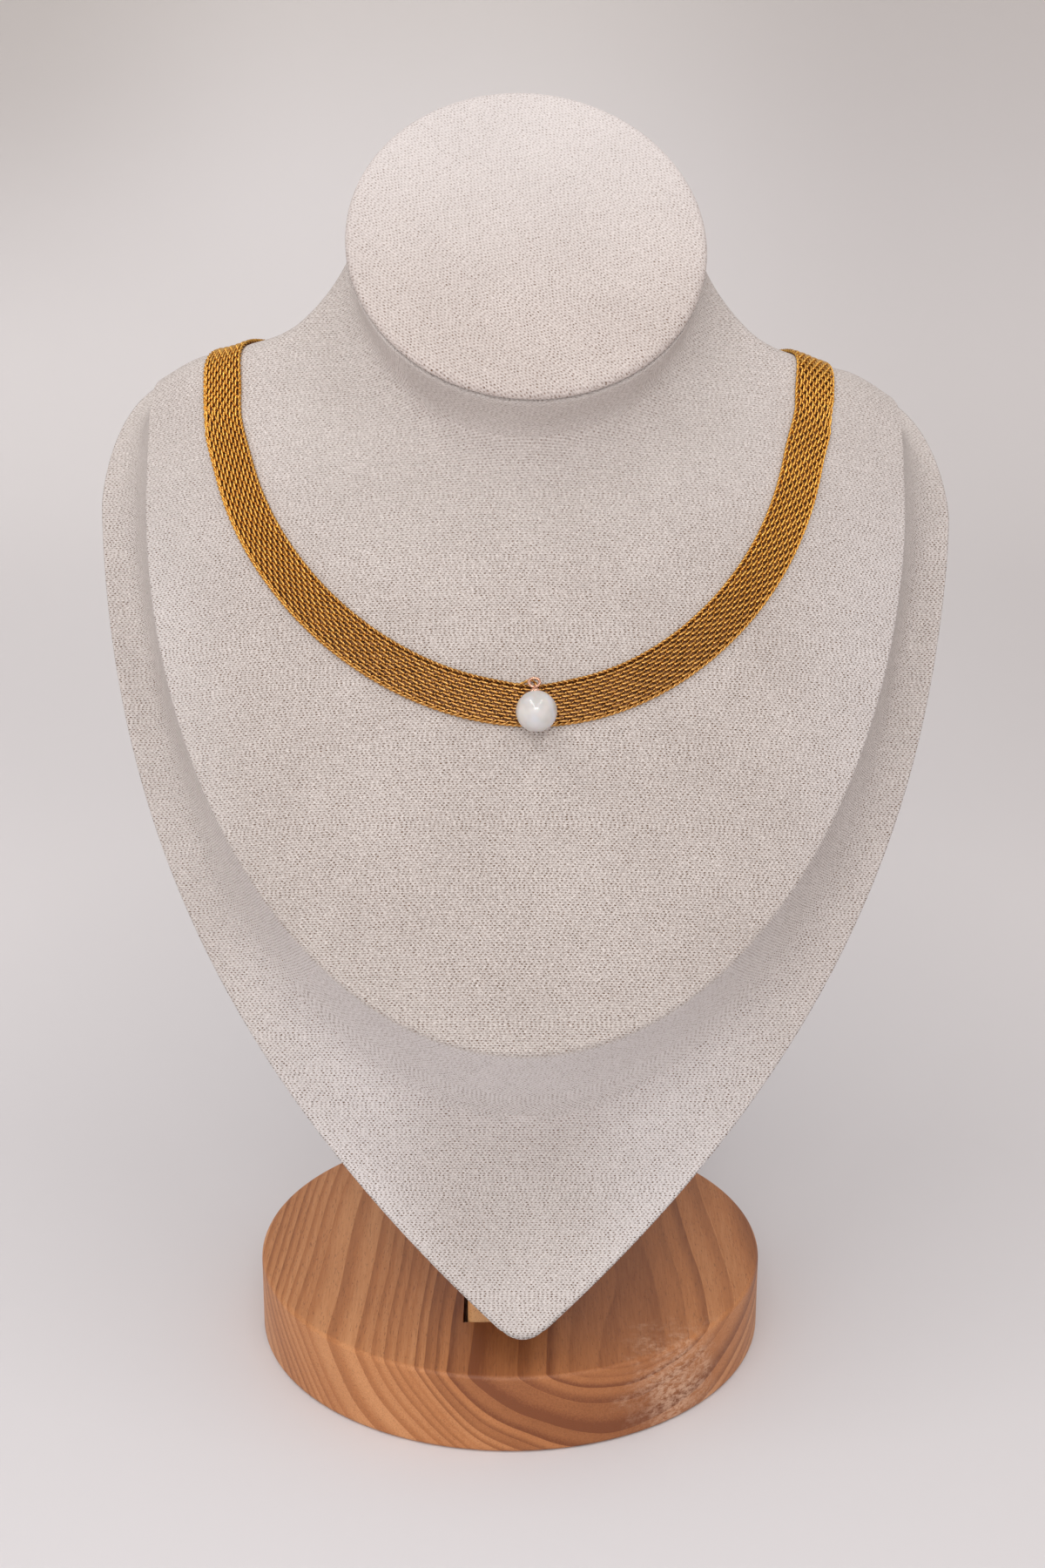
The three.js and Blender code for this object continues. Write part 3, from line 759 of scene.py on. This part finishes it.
BAND = {"at": 0.4715, "dip": 0.009, "shift": 0.03, "skew": 0.003, "half": 4.85,
        "drop": 0.035, "drop_from": 78.0, "drop_over": 20.0}
GRID = {"stations": 800, "columns": 21, "half": 5.4}
BAND_START = 7.8
COIL = {"step": 1.2, "pitch": 1.49, "reach": 0.84, "rise": 0.27, "wire": 0.25, "half": 4.15,
        "lean": 0.8, "start": 0.35, "swing": 0.85, "flat": 0.55, "clear": 1.6, "points": 16}
ROPE = {"half": 4.46, "twist": 2.4, "radius": 0.17, "rise": 0.24, "wire": 0.22, "clear": 0.6,
        "step": 0.22}
SHADE_STRIP = {"half": 4.3, "low": 0.02, "high": 0.1, "points": 12, "clear": 0.4, "step": 0.8}
UNDERSIDE = 0.06
MIDDLE = UNDERSIDE + COIL["rise"] + COIL["wire"]
PENDANT_ACROSS = 2.0
PULL = {"depth": 0.6, "reach": 6.0}


def route_turns(turn):
    """The band's place between seam and ridge: lower at the pendant, uneven at the shoulders, and
    dropped a little behind them."""
    behind = np.clip((np.abs(np.degrees(turn)) - BAND["drop_from"]) / BAND["drop_over"], 0, 1)
    return (BAND["at"] + BAND["dip"] * np.cos(turn) ** 6 - BAND["shift"] * np.sin(turn) ** 9
            + BAND["skew"] * np.sin(4 * turn) * np.cos(turn)
            + BAND["drop"] * behind * behind * (3 - 2 * behind))


def unit(vectors):
    """Each vector brought to a length of 1."""
    return vectors / np.linalg.norm(vectors, axis=-1, keepdims=True)


def skin(turn, at):
    """The bust's skin in the part's frame."""
    return place(*np.moveaxis(chest_points(turn, at), -1, 0))


def neighbours(values, reach):
    """Each value with those beside it along the band, which closes on itself."""
    return np.stack([np.roll(values, k, 0) for k in range(-reach, reach + 1)])


def band_surface():
    """The band's length, a grid of points on the skin under it, and their normals.

    Each station's frame has the route's direction, the skin's normal and the side square to both.
    A place to the side is found on the skin by Newton's method. The grid is eased along the band,
    then lifted where the easing sank it.
    """
    fine = np.linspace(-math.pi, math.pi, 2001)
    path = skin(fine, route_turns(fine))
    run = np.concatenate([[0], np.cumsum(np.linalg.norm(np.diff(path, axis=0), axis=1))])
    stations = np.linspace(0, run[-1], GRID["stations"], endpoint=False)
    turn = np.interp(stations, run, fine)[:, None]
    at, step = route_turns(turn), 0.004
    point = skin(turn, at)
    along = unit(skin(turn + step, route_turns(turn + step))
                 - skin(turn - step, route_turns(turn - step)))
    normal = unit(np.cross(skin(turn, at + step) - skin(turn, at - step), along))
    side = unit(np.cross(along, normal))
    places = np.linspace(-GRID["half"], GRID["half"], GRID["columns"])
    target = point + side * places[None, :, None]
    u, v = turn + 0 * target[..., 0], at + 0 * target[..., 0]
    for _ in range(5):
        miss = target - skin(u, v)
        by_turn = (skin(u + step, v) - skin(u - step, v)) / (2 * step)
        by_at = (skin(u, v + step) - skin(u, v - step)) / (2 * step)
        a, c, b, d, p, q = (np.sum(x * y, -1) for x in (by_turn, by_at, miss)
                            for y in (along, side))
        u = u + (p * d - q * b) / (a * d - b * c)
        v = v + (q * a - p * c) / (a * d - b * c)
    lying = skin(u, v)
    soft = neighbours(lying, 4).mean(0)
    tilt = np.cross(np.gradient(soft, axis=1), np.roll(soft, -1, 0) - np.roll(soft, 1, 0))
    tilt = unit(tilt * np.sign(np.sum(tilt * normal, -1, keepdims=True)))
    upward = unit(neighbours(tilt, 3).mean(0))
    sunk = neighbours(np.sum((lying - soft) * upward, -1, keepdims=True), 3).max(0)
    return run[-1], soft + upward * np.maximum(0, neighbours(sunk, 3).mean(0)), upward


BAND_LONG, BAND_SKIN, BAND_UPWARD = band_surface()
# The stations in front, which the band passes from one side to the other.
in_front = np.arange(300, 500)
front_across = BAND_SKIN[in_front, GRID["columns"] // 2, 0] - BUST_TIP[0]
front_run = in_front * BAND_LONG / GRID["stations"]
PENDANT_RUN = float(np.interp(PENDANT_ACROSS, front_across, front_run))


def on_band(run, across, height):
    """Points at a length along the band, a distance across it and a height over the skin.

    They lie between the grid's four nearest places. Near the pendant its pull draws the upper edge
    down a little.
    """
    pull = (PULL["depth"] * np.exp(-((run - PENDANT_RUN) / PULL["reach"]) ** 2)
            * (BAND["half"] - across) / (2 * BAND["half"]))
    rows, columns = GRID["stations"], GRID["columns"]
    row = run / BAND_LONG * rows
    column = np.clip(((across + pull) / GRID["half"] + 1) / 2 * (columns - 1), 0, columns - 1.001)
    first, second = np.floor(row).astype(int), np.floor(column).astype(int)
    row_share, column_share = (row - first)[..., None], (column - second)[..., None]

    def read_column(grid, index):
        low, high = grid[first % rows, index], grid[(first + 1) % rows, index]
        return low + (high - low) * row_share

    def read(grid):
        near = read_column(grid, second)
        return near + (read_column(grid, second + 1) - near) * column_share

    return read(BAND_SKIN) + height[..., None] * read(BAND_UPWARD)


def tubes(centres, towards, radius, sides):
    """Round wires along rows of centres: circles square to the path, whose first spoke points
    towards what is given, closed with a point at each end."""
    wires, stations = centres.shape[:2]
    path = unit(np.gradient(centres, axis=1))
    first = unit(towards - path * np.sum(towards * path, -1, keepdims=True))
    second = np.cross(path, first)
    spoke = full_turn(sides)
    ring = (first[..., None, :] * np.cos(spoke)[:, None]
            + second[..., None, :] * np.sin(spoke)[:, None])
    circles = centres[..., None, :] + ring * radius
    points = np.concatenate([circles.reshape(wires, -1, 3), centres[:, :1], centres[:, -1:]], 1)
    shift = (np.arange(wires) * points.shape[1])[:, None, None]
    return points.reshape(-1, 3), [(faces + shift).reshape(-1, faces.shape[1])
                                   for faces in closed_faces(stations, sides)]


def coil_wires(parity):
    """Every second coil: it swings along the band as a flattened cosine and through it as a
    flattened sine, and climbs across by one pitch a turn, mostly on its hidden half. Odd coils
    start half a pitch on."""
    turns = 2 * COIL["half"] / COIL["pitch"]
    angle = np.linspace(0, 2 * math.pi * turns, int(turns * COIL["points"]) + 1)
    count = int((BAND_LONG - 2 * BAND_START - COIL["clear"]) / COIL["step"])
    start = BAND_LONG / 2 - COIL["step"] * (count - 1) / 2
    centre = (start + COIL["step"] * np.arange(count))[parity::2][:, None]
    phase = angle[None, :] + math.pi * parity + COIL["start"]
    climbed = (angle[None, :] + COIL["lean"] * np.cos(phase)) / (2 * math.pi)
    across = COIL["half"] - COIL["pitch"] * climbed + 0 * centre
    run = centre + COIL["reach"] * bent(np.cos(phase), COIL["swing"])
    height = MIDDLE + COIL["rise"] * bent(np.sin(phase), COIL["flat"]) + 0 * centre
    centres = on_band(run, across, height)
    return centres, centres - on_band(centre + 0 * run, across, MIDDLE + 0 * height)


def rope_wires():
    """Two strands twisted round each other along each edge of the band."""
    start = BAND_START + ROPE["clear"]
    run = np.arange(start, BAND_LONG - start, ROPE["step"])
    centres, towards = [], []
    for edge in (-1, 1):
        for strand in (0, math.pi):
            angle = 2 * math.pi * run / ROPE["twist"] * edge + strand
            core = on_band(run, edge * ROPE["half"] + 0 * run, MIDDLE + 0 * run)
            path = on_band(run, edge * ROPE["half"] + ROPE["radius"] * np.cos(angle),
                           MIDDLE + ROPE["rise"] * np.sin(angle))
            centres.append(path)
            towards.append(path - core)
    return np.array(centres), np.array(towards)


def shade_strip_rows():
    """A thin closed dark strip of painted shade under the coils: its section is an oblong, carried
    along the band.
    """
    start = BAND_START + SHADE_STRIP["clear"]
    run = np.arange(start, BAND_LONG - start, SHADE_STRIP["step"])[:, None]
    there = np.linspace(-SHADE_STRIP["half"], SHADE_STRIP["half"], SHADE_STRIP["points"])
    across = np.concatenate([there, there[::-1]])[None, :]
    height = np.repeat([SHADE_STRIP["low"], SHADE_STRIP["high"]], SHADE_STRIP["points"])[None, :]
    return on_band(run + 0 * across, across + 0 * run, height + 0 * run)


# Painted light: the wire is painted brightest where the band rises to the shoulders. The strip
# under it is a dark sheet of painted shade.
gold, gold_shader, gold_spot = new_finish(
    "gold_wire", Metallic=1.0, Coat_Weight=0.3, Coat_Roughness=0.2)
wear = gold_spot.noise(0.9, 2.0, 0.6)
gold_painted_dim = wear.between(0.3, 0.7).mix(colour(178, 130, 68), colour(204, 156, 92))
gold_painted_bright = wear.between(0.3, 0.7).mix(colour(212, 154, 66), colour(238, 186, 90))
feed(gold_shader, Roughness=0.27 + wear * 0.14,
     Base_Color=gold_spot.parts()[2].between(150, 205).mix(gold_painted_dim, gold_painted_bright))
# Painted shade: the strip is dark, with lighter painted glints for the wires glimpsed in that
# shade.
shade_sheet, shade_sheet_shader, shade_sheet_spot = new_finish("gold_shade", Metallic=0.6)
painted_gleam = shade_sheet_spot.noise(2.2, 2.0, 0.7).between(0.4, 0.62)
feed(shade_sheet_shader, Base_Color=painted_gleam.mix(colour(66, 34, 10), colour(150, 102, 64)),
     Roughness=0.6 - painted_gleam * 0.2)
shade_strip = new_piece("band_shade_strip", *closed_rows(shade_strip_rows()), shade_sheet)
even_coils = new_piece("band_coils_even", *tubes(*coil_wires(0), COIL["wire"], 6), gold)
odd_coils = new_piece("band_coils_odd", *tubes(*coil_wires(1), COIL["wire"], 6), gold)
rope = new_piece("band_rope_edges", *tubes(*rope_wires(), ROPE["wire"], 5), gold)
for weave in (shade_strip, even_coils, odd_coils, rope):
    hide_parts("mesh_band")
    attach(weave, "root")


# -------- clasp
# A plain gold-tone box clasp between the band's two ends, behind the neck. Two shallow grooves
# mark where its tongue slides into its box.

CLASP = {"half": 7.5, "width": 9.7, "thick": 2.4, "middle": 1.25, "groove_at": 4.2,
         "groove_depth": 0.16, "groove_half": 0.3, "round_from": 6.9, "round_over": 0.62,
         "squareness": (0.3, 0.5), "points": 36}


def clasp_points():
    """A rounded oblong section carried along the nape, drawn in at its grooves and ends."""
    run = np.linspace(-CLASP["half"], CLASP["half"], 61)
    turn = full_turn(CLASP["points"]) + math.pi / CLASP["points"]
    across = CLASP["width"] / 2 * bent(np.cos(turn), CLASP["squareness"][0])
    height = CLASP["thick"] / 2 * bent(np.sin(turn), CLASP["squareness"][1])
    off_groove = (np.abs(run) - CLASP["groove_at"]) / CLASP["groove_half"]
    past_round = np.maximum(0, np.abs(run) - CLASP["round_from"]) / CLASP["round_over"]
    ends = np.sqrt(np.clip(1 - past_round ** 2, 0.05, 1))
    scale = (ends - CLASP["groove_depth"] * np.exp(-off_groove ** 2))[:, None]
    return on_band(run[:, None] + 0 * turn, scale * across, CLASP["middle"] + scale * height)


polished, polished_shader, polished_spot = new_finish("gold_sheet", Metallic=1.0)
rub = polished_spot.noise(1.5, 3.0, 0.6, (1.0, 6.0, 6.0))
feed(polished_shader, Roughness=0.2 + rub * 0.2,
     Base_Color=rub.mix(colour(214, 156, 70), colour(228, 172, 84)))
clasp = new_piece("clasp_box", *closed_rows(clasp_points()), polished)
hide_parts("clasp")
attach(clasp, "root")


# -------- pendant ring
# A pale rose-gold jump ring soldered to a small bell cup, whose peg is glued into the pearl. The
# band's edge wire runs up through the ring and holds it.

PEARL = {"radius": 4.3, "across": 2.4, "up": 128.2, "out": 46.9}
RING = {"across": 1.97, "up": 135.1, "out": 43.75, "radius": 1.15, "wire": 0.3,
        "around": 64, "sides": 16}
CUP_BASE = PEARL["radius"] + 0.28
CUP_SHAPE = [(0.2, -0.02), (0.9, -0.1), (1.14, -0.02), (1.22, 0.14), (1.18, 0.36), (1.12, 0.6),
             (1.0, 0.84), (0.8, 1.0), (0.56, 1.1), (0.42, 1.24), (0.39, 1.7), (0.3, 1.95)]
LIP = {"at": 0.14, "over": 0.2, "beads": 14, "bead": 0.07}

pearl_middle = place(PEARL["across"], PEARL["up"], PEARL["out"])
ring_middle = place(RING["across"], RING["up"], RING["out"])
hang_axis = unit(ring_middle - pearl_middle)
hang_across = unit(np.array([1.0, 0, 0]) - hang_axis * hang_axis[0])
hang_facing = np.cross(hang_across, hang_axis)
HANG = np.stack([hang_across, hang_axis, hang_facing])


def torus_points():
    """The ring in the hanging frame, its hole facing out: a circle turned round a wider circle."""
    turn = full_turn(RING["around"])[:, None]
    spoke = full_turn(RING["sides"])[None, :]
    reach = RING["radius"] + RING["wire"] * np.cos(spoke)
    depth = RING["wire"] * np.sin(spoke) + 0 * turn
    return np.stack([reach * np.cos(turn), reach * np.sin(turn), depth], -1).reshape(-1, 3)


def cup_points():
    """A bell cup round the hanging axis, its lip milled into small beads, with a short stem."""
    radii, rises = np.array(CUP_SHAPE).T
    turn = full_turn(8 * LIP["beads"])
    by_lip = np.exp(-((rises - LIP["at"]) / LIP["over"]) ** 2)[:, None]
    radius = radii[:, None] * (1 + LIP["bead"] * np.cos(LIP["beads"] * turn)[None, :] * by_lip)
    return np.stack([radius * np.cos(turn), CUP_BASE + rises[:, None] + 0 * turn,
                     radius * np.sin(turn)], -1)


rose, rose_shader, rose_spot = new_finish("rose_gold", Metallic=1.0)
sheen = rose_spot.noise(2.5, 2.0)
feed(rose_shader, Roughness=0.16 + sheen * 0.12,
     Base_Color=sheen.mix(colour(222, 164, 134), colour(242, 200, 178)))
torus = torus_points() @ HANG + ring_middle
ring_faces = quads(RING["around"] + 1, RING["sides"], wrap=True) % len(torus)
jump_ring = new_piece("jump_ring", torus, [ring_faces], rose)
cup = new_piece("pearl_cup", *closed_rows(cup_points() @ HANG + pearl_middle), rose)
for part in (jump_ring, cup):
    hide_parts("pendant_ring")
    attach(part, "root")


# The edge wire's route: along the band from the pendant, up past its edge, and off the skin.
HANGER = {"twist": 2.0, "radius": 0.15, "wire": 0.21, "route": [
    (-4.6, -0.1, 0.6), (-3.6, 0.0, 0.65), (-2.8, 0.35, 0.9), (-1.9, 0.8, 1.3), (-1.1, 1.15, 1.5),
    (-0.5, 1.25, 1.35), (0.1, 0.8, 0.6), (0.7, 0.1, 0.3), (1.5, -0.25, 0.45)]}


def edge_wires():
    """Two strands twisted round each other along a hump that leaves the edge, climbs to the ring's
    left side, dips through its hole and comes back. A bell-shaped window rounds its corners."""
    along, rise, front = np.array(HANGER["route"]).T
    fine = np.linspace(0, len(along) - 1, 110)
    window = np.hanning(15) / np.hanning(15).sum()

    def smooth(values):
        joined = np.interp(fine, np.arange(len(values)), values)
        return np.convolve(np.pad(joined, len(window) // 2, mode="edge"), window, mode="valid")

    run, across, height = PENDANT_RUN + smooth(along), -ROPE["half"] - smooth(rise), smooth(front)
    core = on_band(run, across, height)
    twist = 2 * math.pi * run / HANGER["twist"]
    strands = np.stack([on_band(run, across + HANGER["radius"] * np.cos(twist + start),
                                height + HANGER["radius"] * np.sin(twist + start))
                        for start in (0, math.pi)])
    return strands, strands - core


hanger = new_piece("edge_wires", *tubes(*edge_wires(), HANGER["wire"], 10), gold)
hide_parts("mesh_band")
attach(hanger, "root")


# -------- pearl
# A nearly round white pearl with a soft lustre, a faint cool tint in places and a few tiny
# dimples, drilled at its top and glued to the cup's peg.


def pearl_points():
    """A ball whose radius wavers by about a hundredth of a millimetre, round the hanging axis."""
    down = np.linspace(0, math.pi, 97)[1:-1, None]
    turn = full_turn(192)[None, :]
    radius = PEARL["radius"] * (1 + 0.0022 * np.sin(3 * turn + 1) * np.sin(down) ** 2
                                + 0.0025 * np.sin(4 * down + 0.6))
    return np.stack([radius * np.sin(down) * np.cos(turn), radius * np.cos(down) + 0 * turn,
                     radius * np.sin(down) * np.sin(turn)], -1)


nacre, nacre_shader, nacre_spot = new_finish(
    "nacre", Roughness=0.36, Coat_Weight=1.0, Coat_Roughness=0.13, Specular_IOR_Level=0.5,
    Subsurface_Weight=0.2, Subsurface_Scale=0.001)
# The slow clouds give the nacre uneven tone and are drawn strong enough to stand in for a dull
# painted reflection too.
cloud = nacre_spot.noise(0.22, 2.0, 0.5)
flush = nacre_spot.noise(0.3, 1.0, 0.5, (1.0, 1.3, 0.8))
tint = cloud.between(0.3, 0.7).mix(colour(188, 186, 184), colour(210, 206, 202))
blush = flush.between(0.45, 0.75).mix(tint, colour(200, 200, 206))
dimple = nacre_spot.noise(1.4, 1.0).between(0.62, 0.8)
feed(nacre_shader, Base_Color=blush, height=(0.03, cloud * 0.5 - dimple * 0.3))
pearl = new_piece("pearl_ball", *closed_rows(pearl_points() @ HANG + pearl_middle), nacre)
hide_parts("pearl")
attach(pearl, "root")
